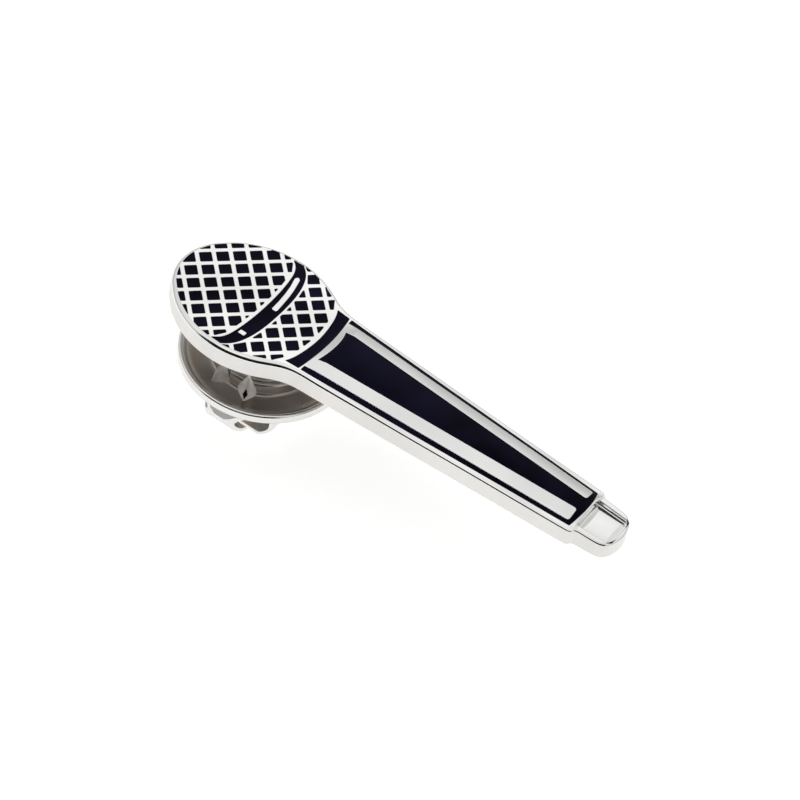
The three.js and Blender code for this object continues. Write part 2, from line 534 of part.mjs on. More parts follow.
// ---------------------------------------------------------------- scene graph
const steel = (c, r) => new THREE.MeshStandardMaterial({ color: c, roughness: r, metalness: 1.0 });
const black = () => new THREE.MeshStandardMaterial({ color: 0x05040f, roughness: 0.12, metalness: 0.0 });
function mesh(name, s, material) {
  const m = new THREE.Mesh(geometryOf(s), material);
  m.name = name;
  return m;
}
const group = new THREE.Group();
const pin = new THREE.Group();
pin.add(mesh('pin_body', body, steel(0xdcdcd8, 0.18)));
for (const [name, s] of Object.entries(enamel)) pin.add(mesh(name, s, black()));
pin.add(mesh('solder_joint', solderJoint, steel(0xb9bab8, 0.45)));
pin.add(mesh('tack_post', tackPost, steel(0xd6d6d2, 0.25)));
group.add(pin);
const clutch = new THREE.Group();
clutch.position.z = CLUTCH_LIFT;
clutch.add(mesh('clutch_dish', dish, steel(0xcfcdc6, 0.22)));
clutch.add(mesh('clutch_eyelet', eyelet, steel(0xcfcdc6, 0.22)));
clutch.add(mesh('clutch_housing', housing, steel(0xcfcdc6, 0.25)));
clutch.add(mesh('clutch_wing_near', wingNear, steel(0xcfcdc6, 0.22)));
clutch.add(mesh('clutch_wing_far', wingFar, steel(0xcfcdc6, 0.22)));
clutch.add(mesh('wing_spring', wingSpring, steel(0xc2b48a, 0.3)));
group.add(clutch);
export default group;
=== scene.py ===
import math
import bpy
import bmesh
import numpy as np
from mathutils import Vector, Matrix
from mathutils.geometry import delaunay_2d_cdt


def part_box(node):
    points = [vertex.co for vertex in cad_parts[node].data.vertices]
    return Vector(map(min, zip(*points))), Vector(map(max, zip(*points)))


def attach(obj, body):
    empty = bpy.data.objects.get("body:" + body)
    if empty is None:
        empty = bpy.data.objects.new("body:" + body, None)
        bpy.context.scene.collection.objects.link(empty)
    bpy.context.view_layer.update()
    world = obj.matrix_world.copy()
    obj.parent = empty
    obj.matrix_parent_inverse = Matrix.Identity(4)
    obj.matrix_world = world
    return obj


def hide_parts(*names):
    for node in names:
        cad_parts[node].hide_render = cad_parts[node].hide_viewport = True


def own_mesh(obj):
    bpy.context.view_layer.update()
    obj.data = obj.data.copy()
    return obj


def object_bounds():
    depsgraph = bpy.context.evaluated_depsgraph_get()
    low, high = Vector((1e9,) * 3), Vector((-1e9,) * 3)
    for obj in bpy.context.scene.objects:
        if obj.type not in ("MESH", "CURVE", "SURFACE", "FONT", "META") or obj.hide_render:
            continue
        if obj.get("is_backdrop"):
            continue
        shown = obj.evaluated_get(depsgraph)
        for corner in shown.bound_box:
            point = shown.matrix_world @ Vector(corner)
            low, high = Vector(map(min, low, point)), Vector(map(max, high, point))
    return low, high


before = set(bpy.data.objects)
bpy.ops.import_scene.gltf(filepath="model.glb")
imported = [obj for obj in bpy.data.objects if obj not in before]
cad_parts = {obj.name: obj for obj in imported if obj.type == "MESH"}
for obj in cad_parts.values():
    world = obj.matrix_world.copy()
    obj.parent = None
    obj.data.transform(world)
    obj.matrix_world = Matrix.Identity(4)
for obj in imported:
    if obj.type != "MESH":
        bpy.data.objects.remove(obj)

CAD_LO, CAD_HI = (list(map(float, c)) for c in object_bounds())
rng = np.random.default_rng(7)

# ------------------------------------------------------------------ scale of the artwork
U = 35.3 / 36.92          # millimetres per artwork unit
POST_X, BACK = 6.433, 1.62
SH = 0.035                # rounded shoulder of the metal lines, artwork units


def P3(x, y, z):
    """artwork units (height over the head's face) to metres in the row frame"""
    return np.stack([(np.asarray(x) - POST_X) * U, np.asarray(y) * U, (np.asarray(z) + BACK) * U], -1) * 1e-3


def interp(table, s):
    t = np.asarray(table, float)
    return np.interp(s, t[:, 0], t[:, 1])


def smooth(a, b, s):
    t = np.clip((np.asarray(s, float) - a) / (b - a), 0, 1)
    return t * t * (3 - 2 * t)


# ------------------------------------------------------------------ outline of the blank
HALF = np.array([
    [-1.34, 0], [-1.314, 0.431], [-1.248, 0.861], [-1.135, 1.262], [-0.981, 1.641], [-0.808, 1.997],
    [-0.613, 2.335], [-0.376, 2.644], [-0.123, 2.918], [0.118, 3.179], [0.371, 3.432], [0.625, 3.666],
    [0.901, 3.881], [1.195, 4.083], [1.499, 4.276], [1.803, 4.448], [2.108, 4.601], [2.412, 4.732],
    [2.715, 4.854], [3.04, 4.965], [3.366, 5.057], [3.69, 5.128], [4.026, 5.189], [4.682, 5.265],
    [5.332, 5.29], [6.023, 5.239], [6.713, 5.107], [7.391, 4.915], [8.067, 4.663], [8.445, 4.489],
    [8.798, 4.297], [9.099, 4.127], [9.377, 3.968], [9.692, 3.811], [10.015, 3.674], [10.367, 3.556],
    [10.739, 3.471], [11.113, 3.423], [11.508, 3.39], [12.507, 3.347], [14.508, 3.241], [17.008, 3.101],
    [20.008, 2.934], [23.008, 2.766], [26.009, 2.607], [29.01, 2.452], [31.01, 2.348], [31.91, 2.297],
    [32.3, 2.265], [32.5, 2.235], [32.63, 2.17], [32.71, 2.08], [32.77, 1.98], [32.86, 1.91],
    [33.04, 1.875], [33.6, 1.84], [34.2, 1.8], [34.6, 1.745], [34.88, 1.63], [35.12, 1.43],
    [35.31, 1.16], [35.44, 0.84], [35.53, 0.44], [35.58, 0]])


def catmull_closed(pts, step):
    n = len(pts)
    out = []
    for i in range(n):
        p0, p1, p2, p3 = pts[(i - 1) % n], pts[i], pts[(i + 1) % n], pts[(i + 2) % n]
        L = np.linalg.norm(p2 - p1)
        d0, d1, d2 = (max(1e-6, np.linalg.norm(b - a)) ** 0.5 for a, b in ((p0, p1), (p1, p2), (p2, p3)))
        m1 = (p1 - p0) / d0 - (p2 - p0) / (d0 + d1) + (p2 - p1) / d1
        m2 = (p2 - p1) / d1 - (p3 - p1) / (d1 + d2) + (p3 - p2) / d2
        m1, m2 = m1 * d1, m2 * d1
        k = max(1, int(math.ceil(L / step)))
        for j in range(k):
            t = j / k
            out.append((2 * t**3 - 3 * t**2 + 1) * p1 + (t**3 - 2 * t**2 + t) * m1 + (-2 * t**3 + 3 * t**2) * p2 + (t**3 - t**2) * m2)
    return np.array(out)


ctrl = np.vstack([HALF[::-1], HALF[1:-1] * [1, -1]])      # plug -> +Y -> ball -> -Y, counter-clockwise
OUT = catmull_closed(ctrl, 0.16)


def half_width(x):
    return interp(HALF, x)


LINE_IN = [[9.6, 0], [12, -0.06], [13, -0.07], [16, -0.09], [20, -0.13], [24, -0.14], [28, -0.15], [31, -0.19], [32.3, -0.20]]
LINE_OUT = [[9.6, 0], [11.5, -0.06], [13, -0.12], [16, -0.14], [20, -0.18], [24, -0.18], [28, -0.22], [31, -0.22], [32.4, -0.23]]


def face(x, y):
    """height of the decorated face, artwork units over the head's face"""
    x, y = np.asarray(x, float), np.asarray(y, float)
    grow = np.clip((x - 10.85) / 1.15, 0, 1)
    crown = (0.52 - 0.013 * (x - 12)) * grow
    inner = 2.98 - 0.0575 * (x - 12)
    w = np.maximum(half_width(x), inner + 0.05)
    v = np.abs(y)
    a, b = interp(LINE_IN, x), interp(LINE_OUT, x)
    h = np.where(v < inner, crown + (a - crown) * (v / inner) ** 2, a + (b - a) * np.clip((v - inner) / (w - inner), 0, 1))
    plug = -(0.20 + 0.08 * np.clip((x - 32.8) / 2.2, 0, 1))
    s = smooth(32.60, 32.74, x)
    return h * (1 - s) + plug * s


def face_normal(x, y):
    e = 1e-3
    gx = (face(x + e, y) - face(x - e, y)) / (2 * e)
    gy = (face(x, np.asarray(y) + e) - face(x, np.asarray(y) - e)) / (2 * e)
    n = np.stack([-gx, -gy, np.ones_like(gx)], -1)
    return n / np.linalg.norm(n, axis=-1, keepdims=True)


# ------------------------------------------------------------------ plane geometry
def area2(p):
    q = np.roll(p, -1, 0)
    return float((p[:, 0] * q[:, 1] - q[:, 0] * p[:, 1]).sum())


def ccw(p):
    p = np.asarray(p, float)
    return p if area2(p) > 0 else p[::-1].copy()


def outward(p):
    """unit normals pointing out of a counter-clockwise loop, with the miter length"""
    a, b = np.roll(p, 1, 0), np.roll(p, -1, 0)
    u, v = p - a, b - p
    u /= np.maximum(np.linalg.norm(u, axis=1, keepdims=True), 1e-9)
    v /= np.maximum(np.linalg.norm(v, axis=1, keepdims=True), 1e-9)
    n1, n2 = np.c_[u[:, 1], -u[:, 0]], np.c_[v[:, 1], -v[:, 0]]
    m = n1 + n2
    m /= np.maximum(np.linalg.norm(m, axis=1, keepdims=True), 1e-9)
    c = np.maximum((m * n1).sum(1), 0.5)
    return m, 1 / c


def offset(p, d):
    m, k = outward(p)
    return p + m * (k * d)[:, None]


def fillet(p, r, n=4):
    """rounds every corner of a counter-clockwise loop"""
    r = np.broadcast_to(r, (len(p),))
    out = []
    for i in range(len(p)):
        a, b, c = p[i - 1], p[i], p[(i + 1) % len(p)]
        u, v = a - b, c - b
        lu, lv = np.linalg.norm(u), np.linalg.norm(v)
        if lu < 1e-6 or lv < 1e-6:
            continue
        u, v = u / lu, v / lv
        cosang = float(np.clip((u * v).sum(), -1, 1))
        ang = math.acos(cosang)
        if ang > math.pi * 0.985 or r[i] <= 0:
            out.append(b)
            continue
        d = min(r[i] / math.tan(ang / 2), 0.45 * lu, 0.45 * lv)
        for j in range(n + 1):
            t = j / n
            out.append((1 - t) ** 2 * (b + u * d) + 2 * t * (1 - t) * b + t * t * (b + v * d))
    return np.array(out)


def densify(p, step):
    out = []
    for i in range(len(p)):
        a, b = p[i], p[(i + 1) % len(p)]
        k = max(1, int(math.ceil(np.linalg.norm(b - a) / step)))
        for j in range(k):
            out.append(a + (b - a) * j / k)
    return np.array(out)


def clip_half(p, o, n):
    """keeps the part of a convex loop where (q - o) . n <= 0"""
    out = []
    for i in range(len(p)):
        a, b = p[i], p[(i + 1) % len(p)]
        da, db = float(np.dot(a - o, n)), float(np.dot(b - o, n))
        if da <= 0:
            out.append(a)
        if (da < 0 < db) or (db < 0 < da):
            out.append(a + (b - a) * da / (da - db))
    return np.array(out)


def parity(loops, q):
    """even-odd test of points q against closed loops"""
    inside = np.zeros(len(q), bool)
    for p in loops:
        a, b = p, np.roll(p, -1, 0)
        lo, hi = p.min(0), p.max(0)
        near = np.where((q[:, 0] >= lo[0]) & (q[:, 0] <= hi[0]) & (q[:, 1] >= lo[1]) & (q[:, 1] <= hi[1]))[0]
        if not len(near):
            continue
        Q = q[near]
        c = (a[None, :, 1] > Q[:, 1:2]) != (b[None, :, 1] > Q[:, 1:2])
        with np.errstate(divide="ignore", invalid="ignore"):
            xs = a[None, :, 0] + (Q[:, 1:2] - a[None, :, 1]) * (b - a)[None, :, 0] / (b - a)[None, :, 1]
        hits = (c & (Q[:, 0:1] < xs)).sum(1) % 2 == 1
        inside[near] ^= hits
    return inside


def triangulate(loops, steiner=None):
    """conforming triangles of the even-odd region; returns points and faces, loops' points first"""
    pts = np.vstack(loops)
    edges, k = [], 0
    for p in loops:
        n = len(p)
        edges += [(k + i, k + (i + 1) % n) for i in range(n)]
        k += n
    if steiner is not None and len(steiner):
        pts = np.vstack([pts, steiner])
    vs, _, fs, ov, _, _ = delaunay_2d_cdt([Vector(p) for p in pts], edges, [], 0, 1e-7)
    xy = np.array([[v.x, v.y] for v in vs])
    src = [o[0] if o else -1 for o in ov]
    extra, out_pts = [], [p for p in pts]
    for i, s in enumerate(src):
        if s < 0:
            src[i] = len(out_pts)
            out_pts.append(xy[i])
    tris = np.array([f for f in fs if len(f) == 3])
    cen = xy[tris].mean(1)
    keep = parity(loops, cen)
    src = np.array(src)
    return np.array(out_pts), src[tris[keep]]


class Build:
    """collects vertices with their normals, faces and material numbers"""

    def __init__(self):
        self.v, self.n, self.f, self.m = [], [], [], []

    def add(self, pts, nrm):
        k = len(self.v)
        self.v.extend(np.asarray(pts, float).tolist())
        self.n.extend(np.asarray(nrm, float).tolist())
        return np.arange(k, k + len(pts))

    def strip(self, a, b, mat=0, closed=True):
        n = len(a)
        for i in range(n if closed else n - 1):
            j = (i + 1) % n
            self.f.append((int(a[i]), int(a[j]), int(b[j]), int(b[i])))
            self.m.append(mat)

    def tris(self, ids, t, mat=0):
        for f in t:
            self.f.append(tuple(int(ids[i]) for i in f))
            self.m.append(mat)

    def object(self, name, mats, normals=True, recalc=True):
        me = bpy.data.meshes.new(name)
        me.from_pydata(self.v, [], self.f)
        me.update()
        me.polygons.foreach_set("material_index", self.m)
        if recalc:
            bm = bmesh.new()
            bm.from_mesh(me)
            bmesh.ops.recalc_face_normals(bm, faces=bm.faces)
            bm.to_mesh(me)
            bm.free()
        me.polygons.foreach_set("use_smooth", [True] * len(me.polygons))
        if normals:
            me.normals_split_custom_set_from_vertices([Vector(n).normalized() for n in self.n])
        o = bpy.data.objects.new(name, me)
        bpy.context.scene.collection.objects.link(o)
        for m in mats:
            me.materials.append(m)
        return o


# ------------------------------------------------------------------ artwork
BAND_A = np.array([[0, 5.87], [1, 5.85], [2, 5.78], [2.8, 5.70], [3.4, 5.60], [4.0, 5.42], [4.4, 5.20], [4.7, 4.92], [4.84, 4.70]])
BAND_B = np.array([[0, 7.00], [1, 6.97], [2, 6.90], [2.8, 6.77], [3.4, 6.60], [4.0, 6.36], [4.4, 6.08], [4.7, 5.80], [4.86, 5.58]])
COLLAR_A = np.array([[0, 10.38], [1, 10.32], [2, 10.16], [2.6, 10.00], [3.12, 9.76]])
COLLAR_B = np.array([[0, 11.20], [1, 11.15], [2, 11.02], [2.6, 10.92], [3.04, 10.84]])


def curve(table, y):
    """smooth station of a cross band at distance y from the centre line"""
    y = np.abs(np.asarray(y, float))
    t = table
    c = np.polyfit(np.r_[-t[::-1, 0], t[:, 0]], np.r_[t[::-1, 1], t[:, 1]], 8)
    return np.polyval(c, y)


def band_loop(a, b, n=44):
    ya, yb = a[-1, 0], b[-1, 0]
    A = np.array([[curve(a, y), y] for y in np.linspace(-ya, ya, n)])
    B = np.array([[curve(b, y), y] for y in np.linspace(yb, -yb, n)])
    return ccw(np.vstack([A, B]))


BAND = fillet(band_loop(BAND_A, BAND_B), np.r_[0.05, np.zeros(42), 0.05, 0.05, np.zeros(42), 0.05])
COLLAR = fillet(band_loop(COLLAR_A, COLLAR_B, 28), np.r_[0.05, np.zeros(26), 0.05, 0.05, np.zeros(26), 0.05])
BAR = densify(fillet(ccw([[5.80, 3.45], [5.88, 3.66], [6.04, 3.70], [6.19, 3.56], [6.31, 3.05], [6.45, 2.45], [6.56, 1.75],
                          [6.64, 0.95], [6.70, 0.16], [6.62, 0.04], [6.33, 0.04], [6.27, 0.16], [6.24, 0.95], [6.15, 1.85], [6.02, 2.65]]),
                     0.16, 4), 0.3)
KEY = fillet(ccw([[5.86, -2.90], [6.38, -2.90], [6.34, -3.27], [5.83, -3.27]]), 0.09, 4)


def panel_w(x):
    return 1.64 - 0.0535 * (x - 12)


def stripe_w(x):
    return 2.58 - 0.0500 * (x - 12)


def outer_w(x):
    return 2.98 - 0.0575 * (x - 12)


def handle_loop():
    p, r = [], []

    def put(x, y, rr=0.0):
        p.append([x, y]); r.append(rr)
    tail = 32.05
    put(11.03, outer_w(11.03), 0.04)
    w = outer_w(32.28)
    put(32.28, w, 0.06)
    for y in np.linspace(w, -w, 15)[1:-1]:
        put(32.57 - 0.29 * (y / w) ** 2, y)
    put(32.28, -w, 0.06)
    put(11.03, -outer_w(11.03), 0.04)
    put(11.03, -stripe_w(11.03), 0.04)
    put(tail, -stripe_w(tail), 0.22)
    put(tail, -panel_w(tail), 0.22)
    h = panel_w(11.47)
    put(11.47, -h, 0.04)
    for y in np.linspace(-h, h, 13)[1:-1]:
        put(11.79 - 0.32 * (y / h) ** 2, y)
    put(11.47, h, 0.04)
    put(tail, panel_w(tail), 0.22)
    put(tail, stripe_w(tail), 0.22)
    put(11.03, stripe_w(11.03), 0.04)
    p, r = np.array(p), np.array(r)
    if area2(p) < 0:
        p, r = p[::-1].copy(), r[::-1].copy()
    return densify(fillet(p, r, 5), 0.7)


HANDLE = handle_loop()
PLUG_FIELD = densify(fillet(ccw([[32.69, -1.40], [32.69, 1.40], [34.95, 1.27], [35.19, 1.10], [35.24, 0.0], [35.19, -1.10], [34.95, -1.27]]), 0.10, 4), 0.35)

PITCH, CELL = 1.7, 0.735


def cell_list():
    """the lattice cells of both grille fields, clipped to their field, with rounded corners"""
    h = PITCH / 2 * CELL
    rim = offset(OUT, -0.40)
    fields = {"upper": [], "lower": []}
    for u in range(-8, 15):
        for v in range(-8, 15):
            cx, cy = (u + v) * PITCH / 2, (u - v + 1) * PITCH / 2
            if cx < -2 or cx > 11.4 or abs(cy) > 5.6:
                continue
            base = np.array([[cx + h, cy], [cx, cy + h], [cx - h, cy], [cx, cy - h]])
            for k in ("upper", "lower"):
                p = base
                def cut(table, shift, keep_left):
                    nonlocal p
                    if len(p) < 3:
                        return
                    y0 = float(np.clip(cy, -table[-1, 0], table[-1, 0]))
                    e = 0.05
                    a = np.array([float(curve(table, y0 - e)) + shift, y0 - e])
                    b = np.array([float(curve(table, y0 + e)) + shift, y0 + e])
                    t = (b - a) / np.linalg.norm(b - a)
                    n = np.array([t[1], -t[0]])
                    if n[0] < 0:
                        n = -n
                    if not keep_left:
                        n = -n
                    p = clip_half(p, (a + b) / 2, n)
                if k == "upper":
                    cut(BAND_A, -0.27, True)
                else:
                    cut(BAND_B, 0.16, False)
                    cut(COLLAR_A, -0.33, True)
                if len(p) < 3:
                    continue
                # the rim: cut by the chords of the inset outline near this cell
                d = np.linalg.norm(rim - [cx, cy], axis=1)
                i0 = int(d.argmin())
                if d[i0] < 2.2:
                    for j in range(-9, 9):
                        a, b = rim[(i0 + j) % len(rim)], rim[(i0 + j + 1) % len(rim)]
                        t = (b - a) / max(np.linalg.norm(b - a), 1e-9)
                        if len(p) >= 3 and (k == "upper" or cx < 8.6):
                            p = clip_half(p, a, np.array([t[1], -t[0]]))
                    if k == "lower" and cx >= 8.6 and len(p) >= 3:
                        a, b = rim[(i0 - 1) % len(rim)], rim[(i0 + 1) % len(rim)]
                        t = (b - a) / np.linalg.norm(b - a)
                        p = clip_half(p, rim[i0], np.array([t[1], -t[0]]))
                if len(p) < 3 or not parity([rim], p.mean(0)[None] * 0.999).any():
                    continue
                keep = [p[0]]
                for q in p[1:]:
                    if np.linalg.norm(q - keep[-1]) > 0.02:
                        keep.append(q)
                if np.linalg.norm(keep[0] - keep[-1]) < 0.02:
                    keep.pop()
                p = np.array(keep)
                if len(p) < 3 or abs(area2(p)) / 2 < 0.045:
                    continue
                p = fillet(ccw(p), 0.085, 4)
                fields[k].append(densify(p, 0.35))
    return fields


FIELDS = cell_list()

# ------------------------------------------------------------------ materials


def principled(name):
    m = bpy.data.materials.new(name)
    m.use_nodes = True
    nt = m.node_tree
    return m, nt, nt.nodes["Principled BSDF"]


def add(nt, kind, **kw):
    n = nt.nodes.new(kind)
    for k, v in kw.items():
        if k.startswith("i_"):
            n.inputs[int(k[2:])].default_value = v
        else:
            setattr(n, k, v)
    return n


def ramp(nt, fac, stops):
    n = nt.nodes.new("ShaderNodeValToRGB")
    cr = n.color_ramp
    while len(cr.elements) < len(stops):
        cr.elements.new(0.5)
    for e, (p, c) in zip(cr.elements, stops):
        e.position = p
        e.color = (*c, 1) if len(c) == 3 else c
    nt.links.new(fac, n.inputs["Fac"])
    return n


def metal(name, base, rough, spread, tint=0.03, bump=0.10, grain=900.0, stretch=(1, 1, 1), dirt=None):
    """plated metal: slow colour drift, fine roughness mottle and a faint grain"""
    m, nt, b = principled(name)
    L = nt.links.new
    tc = add(nt, "ShaderNodeTexCoord")
    mp = add(nt, "ShaderNodeMapping")
    mp.inputs["Scale"].default_value = stretch
    L(tc.outputs["Object"], mp.inputs["Vector"])
    slow = add(nt, "ShaderNodeTexNoise")
    slow.inputs["Scale"].default_value = 180.0
    slow.inputs["Detail"].default_value = 3.0
    L(mp.outputs["Vector"], slow.inputs["Vector"])
    fine = add(nt, "ShaderNodeTexNoise")
    fine.inputs["Scale"].default_value = grain
    fine.inputs["Detail"].default_value = 5.0
    L(mp.outputs["Vector"], fine.inputs["Vector"])
    lo = [c * (1 - tint) for c in base]
    hi = [min(1, c * (1 + tint)) for c in base]
    col = ramp(nt, slow.outputs["Fac"], [(0.35, lo), (0.65, hi)])
    L(col.outputs["Color"], b.inputs["Base Color"])
    mr = add(nt, "ShaderNodeMapRange")
    mr.inputs["From Min"].default_value = 0.3
    mr.inputs["From Max"].default_value = 0.7
    mr.inputs["To Min"].default_value = rough - spread
    mr.inputs["To Max"].default_value = rough + spread
    L(fine.outputs["Fac"], mr.inputs["Value"])
    L(mr.outputs["Result"], b.inputs["Roughness"])
    b.inputs["Metallic"].default_value = 1.0
    bp = add(nt, "ShaderNodeBump")
    bp.inputs["Strength"].default_value = bump
    bp.inputs["Distance"].default_value = 2e-6
    L(fine.outputs["Fac"], bp.inputs["Height"])
    L(bp.outputs["Normal"], b.inputs["Normal"])
    return m


nickel = metal("bright_nickel", (0.86, 0.86, 0.845), 0.13, 0.035, tint=0.07, bump=0.25, grain=2600)
wall = metal("satin_nickel_wall", (0.74, 0.725, 0.70), 0.36, 0.05, bump=0.5, grain=3200, stretch=(1, 1, 0.25))
# the pin's back: the stipple is real grain in the bump; its low base colour is painted shade, so the dish reflects it
# dark
back_with_painted_shade = metal("stippled_back_painted_shade", (0.42, 0.41, 0.39), 0.5, 0.08, tint=0.08, bump=1.0, grain=700)
clutch_metal = metal("clutch_nickel", (0.80, 0.79, 0.76), 0.16, 0.05, bump=0.3, grain=1500)
post_metal = metal("post_nickel", (0.80, 0.80, 0.78), 0.2, 0.05, bump=0.4, grain=2200)
wing_metal = metal("wing_nickel", (0.90, 0.89, 0.87), 0.5, 0.06, bump=0.3, grain=1500, stretch=(0.25, 1, 1))
sleeve_metal = metal("sleeve_nickel", (0.90, 0.89, 0.87), 0.5, 0.06, bump=0.3, grain=1500)
brass = metal("spring_brass", (0.82, 0.74, 0.54), 0.5, 0.06, bump=0.4, grain=1800)
solder_m = metal("solder", (0.60, 0.60, 0.58), 0.42, 0.10, tint=0.10, bump=0.9, grain=900)


def enamel_material():
    m, nt, b = principled("black_enamel")
    L = nt.links.new
    tc = add(nt, "ShaderNodeTexCoord")
    slow = add(nt, "ShaderNodeTexNoise")
    slow.inputs["Scale"].default_value = 260.0
    slow.inputs["Detail"].default_value = 4.0
    L(tc.outputs["Object"], slow.inputs["Vector"])
    col = ramp(nt, slow.outputs["Fac"], [(0.3, (0.0012, 0.0010, 0.0035)), (0.7, (0.0070, 0.0060, 0.0190))])
    L(col.outputs["Color"], b.inputs["Base Color"])
    mr = add(nt, "ShaderNodeMapRange")
    mr.inputs["To Min"].default_value = 0.10
    mr.inputs["To Max"].default_value = 0.20
    L(slow.outputs["Fac"], mr.inputs["Value"])
    L(mr.outputs["Result"], b.inputs["Roughness"])
    b.inputs["Specular IOR Level"].default_value = 0.035
    b.inputs["Specular Tint"].default_value = (0.72, 0.70, 1.0, 1)
    bp = add(nt, "ShaderNodeBump")
    bp.inputs["Strength"].default_value = 0.12
    bp.inputs["Distance"].default_value = 8e-6
    L(slow.outputs["Fac"], bp.inputs["Height"])
    L(bp.outputs["Normal"], b.inputs["Normal"])
    return m


enamel_m = enamel_material()

# ------------------------------------------------------------------ the struck blank
R_TABLE = [[-1.4, 0.42], [9.5, 0.42], [11, 0.27], [13, 0.26], [16, 0.23], [20, 0.20], [31, 0.19], [32.2, 0.17], [32.6, 0.12], [33, 0.16], [34.5, 0.20], [35.6, 0.22]]
HOLES = FIELDS["upper"] + FIELDS["lower"] + [BAND, COLLAR, HANDLE]
ISLANDS = [BAR, KEY]
DEEP = 0.30               # how deep the recess walls are modelled under the face


def make_body():
    B = Build()
    m_out, k_out = outward(OUT)
    Rr = interp(R_TABLE, OUT[:, 0])

    def ring(d):
        return OUT - m_out * (k_out * np.clip(d, 0, None))[:, None]
    inner = ring(Rr)
    zt = face(inner[:, 0], inner[:, 1])
    # loops of the flat face
    loops = [inner] + [offset(h, SH) for h in HOLES] + [offset(PLUG_FIELD, 0.07)] + [offset(i, -SH) for i in ISLANDS]
    st = []
    for x in np.arange(9.2, 32.5, 0.45):
        w = float(half_width(x)) - float(interp(R_TABLE, x))
        for y in np.linspace(-w, w, 27)[1:-1]:
            st.append([x, y])
    for x in np.arange(10.86, 12.07, 0.10):
        for y in np.linspace(-3.0, 3.0, 41):
            st.append([x, y])
    for x in (32.56, 32.60, 32.63, 32.66):
        for y in np.linspace(-1.9, 1.9, 31):
            st.append([x, y])
    st = np.array(st)
    keep = parity(loops, st)
    allp = np.vstack([densify(l, 0.1) for l in loops])
    for i in np.where(keep)[0]:
        d2 = ((allp - st[i]) ** 2).sum(1).min()
        if d2 < 0.045 ** 2:
            keep[i] = False
    pts, tr = triangulate(loops, st[keep])
    ids = B.add(P3(pts[:, 0], pts[:, 1], face(pts[:, 0], pts[:, 1])), face_normal(pts[:, 0], pts[:, 1]))
    B.tris(ids, tr, 0)
    # outer rounding and wall
    k = 0
    prev = ids[:len(inner)]
    steps = 10
    fn = face_normal(inner[:, 0], inner[:, 1])
    for s in range(1, steps + 1):
        a = math.pi / 2 * s / steps
        rr = ring(Rr * (1 - math.sin(a)))
        z = zt - Rr * (1 - math.cos(a))
        n = np.c_[m_out * math.sin(a), np.full(len(OUT), math.cos(a))] * 1.0
        n = n * (0.0 + 1.0) + np.c_[fn[:, :2] * math.cos(a) * 0.6, np.zeros(len(OUT))]
        cur = B.add(P3(rr[:, 0], rr[:, 1], z), n)
        B.strip(prev, cur, 0 if s < steps - 1 else 1)
        prev = cur
    nw = np.c_[m_out, np.zeros(len(OUT))]
    for zz in (-1.2, -BACK + 0.05):
        cur = B.add(P3(OUT[:, 0], OUT[:, 1], np.minimum(zz, zt - Rr - 0.02)), nw)
        B.strip(prev, cur, 1)
        prev = cur
    low = ring(np.full(len(OUT), 0.05))
    cur = B.add(P3(low[:, 0], low[:, 1], np.full(len(OUT), -BACK)), np.c_[m_out * 0.3, -np.ones(len(OUT))])
    B.strip(prev, cur, 1)
    pb, tb = triangulate([low])
    assert len(pb) == len(low), (len(pb), len(low))
    B.tris(cur, tb, 2)
    # recess walls
    off = len(inner)

    def walls(loop, start, d0, sign, deep, n_sh=4, radius=SH):
        n = len(loop)
        prev = ids[start:start + n]
        mo, ko = outward(loop)
        top = offset(loop, sign * radius)
        zf = face(top[:, 0], top[:, 1])
        f0 = face_normal(top[:, 0], top[:, 1])
        for s in range(1, n_sh + 1):
            a = math.pi / 2 * s / n_sh
            p = loop + mo * (ko * sign * radius * (1 - math.sin(a)))[:, None]
            z = zf - radius * (1 - math.cos(a))
            nn = np.c_[-sign * mo * math.sin(a), np.zeros(n)] + f0 * math.cos(a)
            cur = B.add(P3(p[:, 0], p[:, 1], z), nn)
            B.strip(prev, cur, 0)
            prev = cur
        zb = zf - deep
        nn = np.c_[-sign * mo, np.zeros(n)]
        cur = B.add(P3(loop[:, 0], loop[:, 1], zb), nn)
        B.strip(prev, cur, 0)
        return cur, loop, zb

    start = off
    floors = []
    for h in HOLES:
        floors.append((walls(h, start, 0, 1, DEEP), h))
        start += len(h)
    # the plug's plain field: deeper, with a filleted foot
    n = len(PLUG_FIELD)
    prev = ids[start:start + n]
    mo, ko = outward(PLUG_FIELD)
    top = offset(PLUG_FIELD, 0.07)
    zf = face(top[:, 0], top[:, 1])
    for s in range(1, 5):
        a = math.pi / 2 * s / 4
        p = PLUG_FIELD + mo * (ko * 0.07 * (1 - math.sin(a)))[:, None]
        cur = B.add(P3(p[:, 0], p[:, 1], zf - 0.07 * (1 - math.cos(a))), np.c_[-mo * math.sin(a), np.full(n, math.cos(a))])
        B.strip(prev, cur, 0)
        prev = cur
    zfoot = np.full(n, -0.62) + 0.10
    cur = B.add(P3(PLUG_FIELD[:, 0], PLUG_FIELD[:, 1], zfoot), np.c_[-mo, np.zeros(n)])
    B.strip(prev, cur, 0)
    prev = cur
    for s in range(1, 6):
        a = math.pi / 2 * s / 5
        p = PLUG_FIELD - mo * (ko * 0.10 * (1 - math.cos(a)))[:, None]
        cur = B.add(P3(p[:, 0], p[:, 1], zfoot - 0.10 * math.sin(a)), np.c_[-mo * math.cos(a), np.full(n, math.sin(a))])
        B.strip(prev, cur, 0)
        prev = cur
    fl = PLUG_FIELD - mo * (ko * 0.10)[:, None]
    stp = []
    for x in np.arange(32.9, 35.1, 0.14):
        for y in np.linspace(-1.2, 1.2, 17):
            stp.append([x, y])
    stp = np.array(stp)
    ok = parity([offset(fl, -0.05)], stp)
    pf, tf = triangulate([fl], stp[ok])

